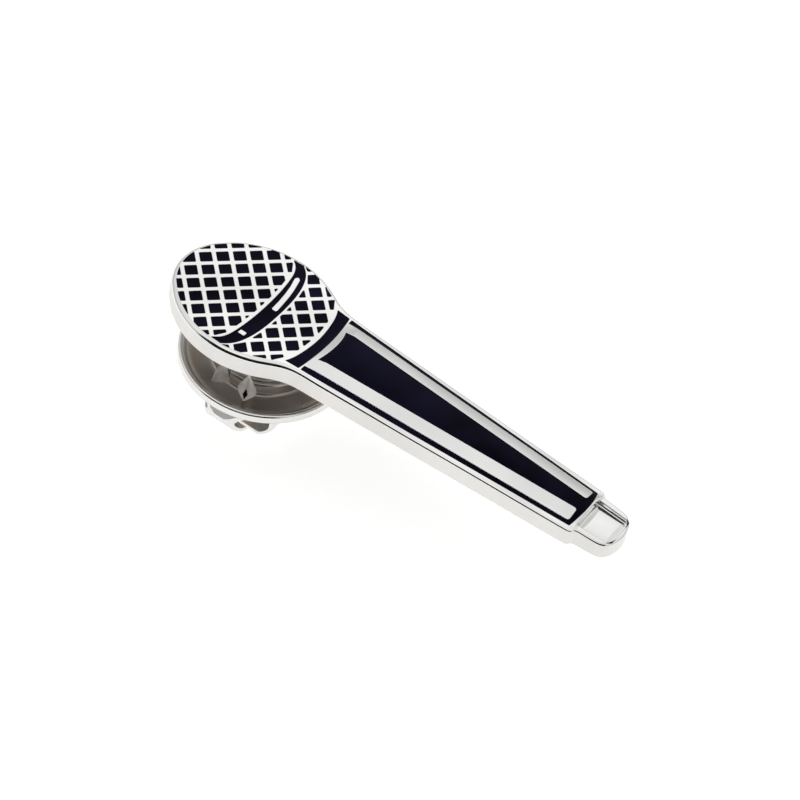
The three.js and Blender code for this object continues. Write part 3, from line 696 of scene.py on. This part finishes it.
    def swell(x, y):
        e = np.clip(1 - (np.abs(y) / 1.3) ** 2, 0, 1) * smooth(32.79, 33.1, x) * (1 - smooth(34.8, 35.08, x))
        return -0.62 + 0.085 * e
    zz = swell(pf[:, 0], pf[:, 1])
    e = 1e-3
    gx = (swell(pf[:, 0] + e, pf[:, 1]) - swell(pf[:, 0] - e, pf[:, 1])) / (2 * e)
    gy = (swell(pf[:, 0], pf[:, 1] + e) - swell(pf[:, 0], pf[:, 1] - e)) / (2 * e)
    more = B.add(P3(pf[n:, 0], pf[n:, 1], zz[n:]), np.c_[-gx[n:], -gy[n:], np.ones(len(pf) - n)])
    B.tris(np.r_[cur, more], tf, 0)
    start += n
    isl = []
    for i in ISLANDS:
        isl.append((walls(i, start, 0, -1, DEEP), i))
        start += len(i)
    for (c, loop, zb), h in floors:
        if h is BAND:
            L2 = [loop] + [i for _, i in isl]
            pf, tf = triangulate(L2)
            B.tris(np.r_[tuple([c] + [w[0] for w, _ in isl])], tf, 0)
        else:
            pf, tf = triangulate([loop])
            if len(pf) == len(loop):
                B.tris(c, tf, 0)
            else:
                ex = B.add(P3(pf[len(loop):, 0], pf[len(loop):, 1], face(pf[len(loop):, 0], pf[len(loop):, 1]) - DEEP), np.tile([0, 0, 1.0], (len(pf) - len(loop), 1)))
                B.tris(np.r_[c, ex], tf, 0)
    o = B.object("struck_blank", [nickel, wall, back_with_painted_shade])
    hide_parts("pin_body")
    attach(o, "pin")
    return o


def make_enamel(name, node, loops_list, islands=(), steiner=False):
    """one field of enamel: closed pads with a small meniscus at the metal"""
    B = Build()
    for L0 in loops_list:
        outer = offset(L0, -0.004)
        rings = [outer] + [offset(i, 0.004) for i in islands]
        signs = [-1] + [1] * len(islands)
        low_z, tops, lows = -DEEP + 0.02, [], []
        inner_loops, inner_ids = [], []
        for r, sg in zip(rings, signs):
            mo, ko = outward(r)
            prof = [(0.0, -0.030), (0.016, -0.042), (0.036, -0.050), (0.075, -0.054)]
            prev = None
            first = None
            for j, (d, dz) in enumerate(prof):
                p = r + mo * (ko * sg * d)[:, None]
                slope = [0.9, 0.6, 0.3, 0.05][j]
                f0 = face_normal(p[:, 0], p[:, 1])
                nn = f0 + np.c_[mo * sg * slope, np.zeros(len(p))]
                cur = B.add(P3(p[:, 0], p[:, 1], face(r[:, 0], r[:, 1]) * 0 + face(p[:, 0], p[:, 1]) + dz), nn)
                if prev is not None:
                    B.strip(prev, cur)
                else:
                    first = cur
                prev = cur
            inner_loops.append(p)
            inner_ids.append(cur)
            low = B.add(P3(r[:, 0], r[:, 1], face(r[:, 0], r[:, 1]) + low_z), np.c_[-mo * sg, np.zeros(len(r))])
            B.strip(first, low)
            lows.append(low)
        st = None
        if steiner:
            s = []
            for x in np.arange(11.2, 32.5, 0.5):
                w = float(half_width(x))
                for y in np.linspace(-w, w, 31):
                    s.append([x, y])
            s = np.array(s)
            ok = parity(inner_loops, s)
            allp = np.vstack([densify(l, 0.1) for l in inner_loops])
            for i in np.where(ok)[0]:
                if ((allp - s[i]) ** 2).sum(1).min() < 0.04 ** 2:
                    ok[i] = False
            st = s[ok]
        pf, tf = triangulate(inner_loops, st)
        nb = sum(len(l) for l in inner_loops)
        idx = np.concatenate(inner_ids)
        if len(pf) > nb:
            q = pf[nb:]
            more = B.add(P3(q[:, 0], q[:, 1], face(q[:, 0], q[:, 1]) - 0.054), face_normal(q[:, 0], q[:, 1]))
            idx = np.r_[idx, more]
        B.tris(idx, tf)
        pl, tl = triangulate(rings)
        nl = sum(len(l) for l in rings)
        idl = np.concatenate(lows)
        if len(pl) > nl:
            q = pl[nl:]
            more = B.add(P3(q[:, 0], q[:, 1], face(q[:, 0], q[:, 1]) + low_z), np.tile([0, 0, -1.0], (len(q), 1)))
            idl = np.r_[idl, more]
        B.tris(idl, tl)
    o = B.object(name, [enamel_m])
    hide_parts(node)
    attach(o, "pin")
    return o


make_body()
make_enamel("enamel_cells_upper", "enamel_grille_upper", FIELDS["upper"])
make_enamel("enamel_cells_lower", "enamel_grille_lower", FIELDS["lower"])
make_enamel("enamel_pool_mid_band", "enamel_mid_band", [BAND], [BAR, KEY])
make_enamel("enamel_pool_collar", "enamel_collar_band", [COLLAR])
make_enamel("enamel_pool_handle", "enamel_handle", [HANDLE], steiner=True)

# ------------------------------------------------------------------ turned and stamped pieces
LIFT = 0.38               # millimetres, the clutch's place on the post
RIM_Z = -2.85
ZF = RIM_Z - 0.60


def bowl_painted_light_material():
    """the pressed dish, its colour painted by radius: painted shade, dull and brownish, inside the hub and in the
    trough under the pin, a painted highlight on the hub crest, and bright again at the rim
    """
    m, nt, b = principled("dish_bowl_painted_shade_and_highlight")
    L = nt.links.new
    tc = add(nt, "ShaderNodeTexCoord")
    sep = add(nt, "ShaderNodeSeparateXYZ")
    L(tc.outputs["Object"], sep.inputs[0])
    flat = add(nt, "ShaderNodeCombineXYZ")
    L(sep.outputs[0], flat.inputs[0])
    L(sep.outputs[1], flat.inputs[1])
    ln = add(nt, "ShaderNodeVectorMath", operation="LENGTH")
    L(flat.outputs[0], ln.inputs[0])
    mr = add(nt, "ShaderNodeMapRange")
    mr.inputs["From Max"].default_value = 0.006
    L(ln.outputs["Value"], mr.inputs["Value"])
    # radial ramp of painted light: the dark stops are painted shade inside the hub and in the trough, the light stop at
    # 0.50 is a painted highlight on the hub crest
    col = ramp(nt, mr.outputs["Result"], [(0.20, (0.38, 0.36, 0.34)), (0.46, (0.34, 0.32, 0.30)), (0.50, (0.72, 0.70, 0.67)), (0.56, (0.60, 0.57, 0.54)),
                                          (0.60, (0.48, 0.445, 0.41)), (0.78, (0.46, 0.42, 0.38)), (0.87, (0.58, 0.54, 0.50)), (0.915, (0.80, 0.79, 0.77))])
    slow = add(nt, "ShaderNodeTexNoise")
    slow.inputs["Scale"].default_value = 420.0
    slow.inputs["Detail"].default_value = 5.0
    L(tc.outputs["Object"], slow.inputs["Vector"])
    mx = add(nt, "ShaderNodeMix", data_type="RGBA", blend_type="MULTIPLY")
    tone = ramp(nt, slow.outputs["Fac"], [(0.3, (0.86, 0.84, 0.82)), (0.7, (1.0, 1.0, 1.0))])
    mx.inputs[0].default_value = 1.0
    L(col.outputs["Color"], mx.inputs[6])
    L(tone.outputs["Color"], mx.inputs[7])
    L(mx.outputs[2], b.inputs["Base Color"])
    r2 = add(nt, "ShaderNodeMapRange")
    r2.inputs["To Min"].default_value = 0.24
    r2.inputs["To Max"].default_value = 0.36
    L(slow.outputs["Fac"], r2.inputs["Value"])
    L(r2.outputs["Result"], b.inputs["Roughness"])
    b.inputs["Metallic"].default_value = 1.0
    bp = add(nt, "ShaderNodeBump")
    bp.inputs["Strength"].default_value = 0.35
    bp.inputs["Distance"].default_value = 4e-6
    L(slow.outputs["Fac"], bp.inputs["Height"])
    L(bp.outputs["Normal"], b.inputs["Normal"])
    return m


bowl_shade_and_highlight = bowl_painted_light_material()
# near-black metal: painted shadow for the dark inside of the nibs' tear holes
nib_hole_painted_shadow = metal("nib_hole_painted_shadow_black", (0.012, 0.011, 0.012), 0.5, 0.1, bump=0.6, grain=1500)
nib_metal = metal("nib_nickel", (0.90, 0.88, 0.85), 0.45, 0.06, tint=0.06, bump=0.4, grain=1300)


def spline(points, per=6):
    """smooth open curve through a profile's points"""
    P = np.array(points, float)
    Q = np.vstack([2 * P[0] - P[1], P, 2 * P[-1] - P[-2]])
    out = []
    for i in range(1, len(Q) - 2):
        p0, p1, p2, p3 = Q[i - 1], Q[i], Q[i + 1], Q[i + 2]
        for j in range(per):
            t = j / per
            out.append(0.5 * (2 * p1 + (p2 - p0) * t + (2 * p0 - 5 * p1 + 4 * p2 - p3) * t * t + (3 * p1 - p0 - 3 * p2 + p3) * t**3))
    out.append(P[-1])
    return np.array(out)


def revolve(B, prof, segs, mats, lift=0.0):
    """closed ring of revolution; prof runs round the section once, in millimetres"""
    n = len(prof)
    a = np.linspace(0, 2 * math.pi, segs, endpoint=False)
    t = np.roll(prof, -1, 0) - np.roll(prof, 1, 0)
    t /= np.maximum(np.linalg.norm(t, axis=1, keepdims=True), 1e-9)
    sgn = 1.0 if area2(prof) > 0 else -1.0
    nr, nz = t[:, 1] * sgn, -t[:, 0] * sgn
    rings = []
    for k in range(n):
        p = np.c_[prof[k, 0] * np.cos(a), prof[k, 0] * np.sin(a), np.full(segs, prof[k, 1] + lift)] * 1e-3
        rings.append(B.add(p, np.c_[nr[k] * np.cos(a), nr[k] * np.sin(a), np.full(segs, nz[k])]))
    for k in range(n):
        B.strip(rings[k], rings[(k + 1) % n], mats[k])


def make_dish():
    B = Build()
    top = [[1.00, -3.22], [1.35, -3.17], [1.75, -3.06], [2.30, -2.80], [2.75, -2.63], [3.02, -2.575], [3.20, -2.60], [3.33, -2.72], [3.42, -2.98], [3.52, -3.28],
           [3.72, ZF + 0.03], [4.10, ZF - 0.005], [4.55, ZF], [4.90, ZF + 0.04], [5.18, ZF + 0.16], [5.38, RIM_Z - 0.20], [5.52, RIM_Z - 0.04], [5.66, RIM_Z],
           [5.78, RIM_Z - 0.04], [5.85, RIM_Z - 0.14], [5.868, RIM_Z - 0.30], [5.868, RIM_Z - 0.60]]
    low = [[5.80, RIM_Z - 0.655], [5.68, RIM_Z - 0.62], [5.62, RIM_Z - 0.40], [5.45, RIM_Z - 0.50], [5.20, ZF - 0.12], [4.85, ZF - 0.26], [3.66, ZF - 0.27], [3.30, ZF - 0.17], [3.10, -3.10],
           [3.02, -2.92], [2.60, -2.98], [1.80, -3.36], [1.00, -3.52]]
    P = np.vstack([spline(top, 5), spline(low, 3)])
    mats = [1 if p[1] > -3.6 and i < 5 * (len(top) - 1) and p[0] < 5.6 else 0 for i, p in enumerate(P)]
    revolve(B, P, 160, mats, LIFT)

    def nib(deg, twist, hole):
        a = math.radians(deg)
        zb = ZF - 0.06 + LIFT

        def W(r, t, z):
            return np.array([r * math.cos(a) - t * math.sin(a), r * math.sin(a) + t * math.cos(a), z]) * 1e-3
        apex = W(3.42 + 0.04 * twist, 0.06 * twist, -1.78 + LIFT)
        foot = {"i": W(3.02, 0.10 * twist, zb), "l": W(3.36, -0.90, zb), "o": W(4.36, -0.06 * twist, zb), "r": W(3.36, 0.90, zb)}
        order = ["i", "l", "o", "r"]

        def ridge(q, s):
            """a ridge that sags between apex and foot"""
            p = apex * (1 - s) + foot[q] * s
            sag = math.sin(math.pi * s) * (0.10 if q in "lr" else 0.05)
            return p - np.array([0, 0, sag * 1e-3])

        def facet(q0, q1, n=7):
            rows = []
            for k in range(n + 1):
                s = k / n
                e0, e1 = ridge(q0, s), ridge(q1, s)
                row = []
                m = max(1, k)
                for j in range(m + 1):
                    f = j / m
                    p = e0 * (1 - f) + e1 * f
                    c = (W(3.45, 0, 0) - p) * [1, 1, 0]
                    dent = 4 * f * (1 - f) * math.sin(math.pi * s) * 0.07e-3
                    l = max(np.linalg.norm(c), 1e-9)
                    row.append(p + c / l * dent)
                rows.append(row)
            for k in range(n):
                A_, C_ = (rows[k] if k else [rows[0][0]]), rows[k + 1]
                ia = B.add(A_, [[0, 0, 1]] * len(A_))
                ic = B.add(C_, [[0, 0, 1]] * len(C_))
                for j in range(len(C_) - 1):
                    if len(A_) == 1:
                        tri = (ia[0], ic[j], ic[j + 1])
                        B.f.append(tuple(int(v) for v in tri)); B.m.append(2)
                    else:
                        if j < len(A_):
                            B.f.append((int(ia[j]), int(ic[j]), int(ic[j + 1]))); B.m.append(2)
                        if j < len(A_) - 1:
                            B.f.append((int(ia[j]), int(ic[j + 1]), int(ia[j + 1]))); B.m.append(2)
        for q0, q1 in zip(order, order[1:] + order[:1]):
            facet(q0, q1)
        base = B.add([foot[q] for q in order], [[0, 0, -1]] * 4)
        B.f.append(tuple(int(v) for v in base[::-1])); B.m.append(2)
        # the tear hole: a thin near-black box on the outer ridge, painted shadow in place of the hole's dark inside
        if hole:
            T, F = ridge("o", 0.50), ridge("o", 0.90)
            out = (W(4.4, 0, 0) - W(3.4, 0, 0)); out[2] = 0.5e-3
            out /= np.linalg.norm(out)
            side = np.array([-math.sin(a), math.cos(a), 0.0])
            eps = out * 0.02e-3
            mid = ridge("o", 0.72)
            pts = [T + eps, mid + side * 0.17e-3 + eps * 0.2, F + eps, mid - side * 0.15e-3 + eps * 0.2]
            back = [p - out * 0.10e-3 for p in pts]
            ids = B.add(pts + back, [[0, 0, 1]] * 8)
            q = [int(v) for v in ids]
            for f in ((0, 1, 2, 3), (7, 6, 5, 4), (0, 4, 5, 1), (1, 5, 6, 2), (2, 6, 7, 3), (3, 7, 4, 0)):
                B.f.append(tuple(q[v] for v in f)); B.m.append(3)
    nib_start = len(B.f)
    for deg, tw, hole in ((-107, 1, False), (-73, -1, True), (73, 1, True), (107, -1, False)):
        nib(deg, tw, hole)
    o = B.object("dish_pressing", [clutch_metal, bowl_shade_and_highlight, nib_metal, nib_hole_painted_shadow], normals=False)
    me = o.data
    sm = [True] * len(me.polygons)
    for p in range(nib_start, len(me.polygons)):
        sm[p] = False
    me.polygons.foreach_set("use_smooth", sm)
    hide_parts("clutch_dish")
    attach(o, "clutch")


make_dish()


def make_post():
    B = Build()
    pad_low = -0.02 - 0.12 - 0.02 - 0.42
    top = -0.16
    p = [[0.001, top], [2.30, top], [2.42, top - 0.02], [2.48, top - 0.07], [2.495, top - 0.15], [2.495, pad_low + 0.12], [2.47, pad_low + 0.04], [2.40, pad_low],
         [1.2, pad_low], [0.92, pad_low - 0.01], [0.74, pad_low - 0.07], [0.62, pad_low - 0.18], [0.573, pad_low - 0.32], [0.573, -2.0], [0.573, -4.86], [0.55, -4.92], [0.468, -5.0],
         [0.455, -5.12], [0.468, -5.24], [0.55, -5.32], [0.573, -5.38], [0.573, -6.1], [0.55, -6.18], [0.468, -6.3], [0.455, -6.42], [0.468, -6.54], [0.55, -6.64],
         [0.573, -6.72], [0.573, -7.0], [0.52, -7.16], [0.42, -7.44], [0.30, -7.69], [0.19, -7.87], [0.10, -7.96], [0.001, -7.998]]
    revolve(B, np.array(p), 64, [0] * len(p))
    o = B.object("post_and_pad", [post_metal])
    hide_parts("tack_post")
    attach(o, "pin")


make_post()


def make_solder():
    B = Build()
    n = 96
    a = np.linspace(0, 2 * math.pi, n, endpoint=False)
    wob = 0.03 * np.sin(3 * a + 0.7) + 0.02 * np.sin(7 * a + 2.1) + 0.012 * np.sin(13 * a)
    rows = []
    for r0, z in ((0.0, -0.021), (2.2, -0.021), (2.62, -0.021), (2.68, -0.05), (2.64, -0.09), (2.55, -0.128), (2.2, -0.139), (0.0, -0.139)):
        if r0 == 0.0:
            rows.append(B.add([[0, 0, z * 1e-3]], [[0, 0, 1]]))
            continue
        r = r0 + (wob if r0 > 2.4 else 0)
        rows.append(B.add(np.c_[r * np.cos(a), r * np.sin(a), np.full(n, z)] * 1e-3, np.c_[np.cos(a), np.sin(a), np.zeros(n)]))
    for A_, C_ in zip(rows, rows[1:]):
        if len(A_) == 1:
            for i in range(n):
                B.f.append((int(A_[0]), int(C_[i]), int(C_[(i + 1) % n]))); B.m.append(0)
        elif len(C_) == 1:
            for i in range(n):
                B.f.append((int(A_[i]), int(C_[0]), int(A_[(i + 1) % n]))); B.m.append(0)
        else:
            B.strip(A_, C_)
    o = B.object("solder_fillet", [solder_m], normals=False)
    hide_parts("solder_joint")
    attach(o, "pin")


make_solder()


def make_eyelet():
    B = Build()
    H = ZF - 0.28 - 0.02
    lo = H - 0.28 - 0.02
    p = spline([[0.645, -3.06], [0.70, -2.98], [0.92, -2.935], [1.25, -2.94], [1.48, -2.985], [1.55, -3.045], [1.44, -3.095], [1.20, -3.13], [1.00, -3.17], [0.975, -3.30]], 4)
    q = [[0.975, lo + 0.02], [1.10, lo - 0.005], [1.34, lo - 0.005], [1.375, lo - 0.05], [1.34, lo - 0.12], [1.20, lo - 0.175], [0.70, lo - 0.175], [0.645, lo - 0.12]]
    P = np.vstack([p, np.array(q)])
    revolve(B, P, 72, [0] * len(P), LIFT)
    o = B.object("eyelet_rivet", [clutch_metal])
    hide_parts("clutch_eyelet")
    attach(o, "clutch_core")


make_eyelet()



def make_spring():
    """the oval hoop of strip behind the plates; on the real clutch it shortens as the ears come together, here it is
    built at one fixed size
    """
    B = Build()
    lo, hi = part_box("wing_spring")
    z0, z1 = float(lo[2]) * 1e3 + 0.004, float(hi[2]) * 1e3 - 0.004
    n, e = 96, 0.03
    a = np.linspace(0, 2 * math.pi, n, endpoint=False)
    sec = [(1.945, 3.535, z0 + e), (1.945, 3.535, z1 - e), (1.915, 3.505, z1), (1.805, 3.395, z1), (1.775, 3.365, z1 - e), (1.775, 3.365, z0 + e),
           (1.805, 3.395, z0), (1.915, 3.505, z0)]
    rings = [B.add(np.c_[p * np.cos(a), q * np.sin(a), np.full(n, z)] * 1e-3, np.c_[np.cos(a), np.sin(a), np.zeros(n)]) for p, q, z in sec]
    for k in range(len(rings)):
        B.strip(rings[k], rings[(k + 1) % len(rings)])
    o = B.object("spring_hoop", [brass], normals=False)
    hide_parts("wing_spring")
    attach(o, "clutch")
    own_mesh(o)


make_spring()

for node, mat, wid in (("clutch_housing", sleeve_metal, 0.04e-3), ("clutch_wing_near", wing_metal, 0.05e-3), ("clutch_wing_far", wing_metal, 0.05e-3)):
    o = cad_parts[node]
    o.data.materials.clear()
    o.data.materials.append(mat)
    w = o.modifiers.new("weld", "WELD")
    w.merge_threshold = 1e-7
    bv = o.modifiers.new("bevel", "BEVEL")
    bv.width = wid
    bv.segments = 2
    bv.limit_method = "ANGLE"
    bv.angle_limit = math.radians(32)
    bv.harden_normals = False

# ------------------------------------------------------------------ floor, light, camera
floor_z = CAD_LO[2] - 0.00002


def make_floor():
    me = bpy.data.meshes.new("floor")
    s, c = 1.2, 0.0
    me.from_pydata([(-s, -s, floor_z), (s, -s, floor_z), (s, s, floor_z), (-s, s, floor_z)], [], [(0, 1, 2, 3)])
    o = bpy.data.objects.new("floor", me)
    bpy.context.scene.collection.objects.link(o)
    m, nt, b = principled("floor_paper")
    b.inputs["Base Color"].default_value = (0.93, 0.93, 0.93, 1)
    b.inputs["Roughness"].default_value = 0.9
    b.inputs["Specular IOR Level"].default_value = 0.1
    b.inputs["Emission Color"].default_value = (1, 1, 1, 1)
    b.inputs["Emission Strength"].default_value = 0.5
    me.materials.append(m)
    o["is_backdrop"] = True


make_floor()


def make_world():
    w = bpy.data.worlds.new("studio")
    bpy.context.scene.world = w
    w.use_nodes = True
    nt = w.node_tree
    L = nt.links.new
    bg = nt.nodes["Background"]
    tc = add(nt, "ShaderNodeTexCoord")
    sep = add(nt, "ShaderNodeSeparateXYZ")
    L(tc.outputs["Generated"], sep.inputs["Vector"])

    def math_(op, a, b=None, clamp=False):
        n = nt.nodes.new("ShaderNodeMath")
        n.operation = op
        n.use_clamp = clamp
        for i, q in enumerate((a, b)):
            if q is None:
                continue
            if isinstance(q, (int, float)):
                n.inputs[i].default_value = q
            else:
                L(q, n.inputs[i])
        return n.outputs[0]

    def step(v, a, b):
        n = nt.nodes.new("ShaderNodeMapRange")
        n.interpolation_type = "SMOOTHSTEP"
        L(v, n.inputs["Value"])
        n.inputs["From Min"].default_value = a
        n.inputs["From Max"].default_value = b
        return n.outputs["Result"]
    x, y, z = sep.outputs
    # the open, dark front of the tent, from just under the horizon to half way up
    hor = math_("SQRT", math_("ADD", math_("MULTIPLY", x, x), math_("MULTIPLY", y, y)))
    f = (0.20, -0.98)
    dot = math_("DIVIDE", math_("ADD", math_("MULTIPLY", x, f[0]), math_("MULTIPLY", y, f[1])), math_("MAXIMUM", hor, 0.02))
    front = step(dot, 0.62, 0.72)
    up = math_("SUBTRACT", 1.0, step(z, 0.74, 0.82))
    dark = math_("MULTIPLY", front, up)
    # brighter panel high at the back, greyer straight overhead and low down at the back
    k = (-0.28, 0.60, 0.75)
    kd = math_("ADD", math_("ADD", math_("MULTIPLY", x, k[0]), math_("MULTIPLY", y, k[1])), math_("MULTIPLY", z, k[2]))
    key = step(kd, 0.955, 0.999)
    low = step(z, 0.15, 0.60)
    k2 = (-0.27, -0.40, 0.87)
    kd2 = math_("ADD", math_("ADD", math_("MULTIPLY", x, k2[0]), math_("MULTIPLY", y, k2[1])), math_("MULTIPLY", z, k2[2]))
    base = math_("ADD", math_("ADD", math_("ADD", 0.56, math_("MULTIPLY", low, 0.27)), math_("MULTIPLY", key, 0.20)), math_("MULTIPLY", step(kd2, 0.90, 0.99), 0.20))
    lit = math_("MULTIPLY", base, math_("SUBTRACT", 1.0, math_("MULTIPLY", dark, 0.99)))
    L(lit, bg.inputs["Strength"])
    bg.inputs["Color"].default_value = (1.0, 1.0, 1.0, 1)


make_world()

cam_data = bpy.data.cameras.new("camera")
cam = bpy.data.objects.new("camera", cam_data)
bpy.context.scene.collection.objects.link(cam)
right = Vector((0.812, 0.562187, 0.156849))
down = Vector((0.515199, -0.564108, -0.645253))
fwd = Vector((-0.274273, 0.604754, -0.747694))
M = Matrix((right, -down, -fwd)).transposed().to_4x4()
M.translation = Vector((63.9613, -117.9631, 146.5876)) * 1e-3
cam.matrix_world = M
cam_data.sensor_width = 36.0
cam_data.lens = 135.0
cam_data.clip_start = 0.005
cam_data.clip_end = 10.0
bpy.context.scene.camera = cam
bpy.context.scene.view_settings.view_transform = "Standard"
bpy.context.scene.view_settings.look = "None"
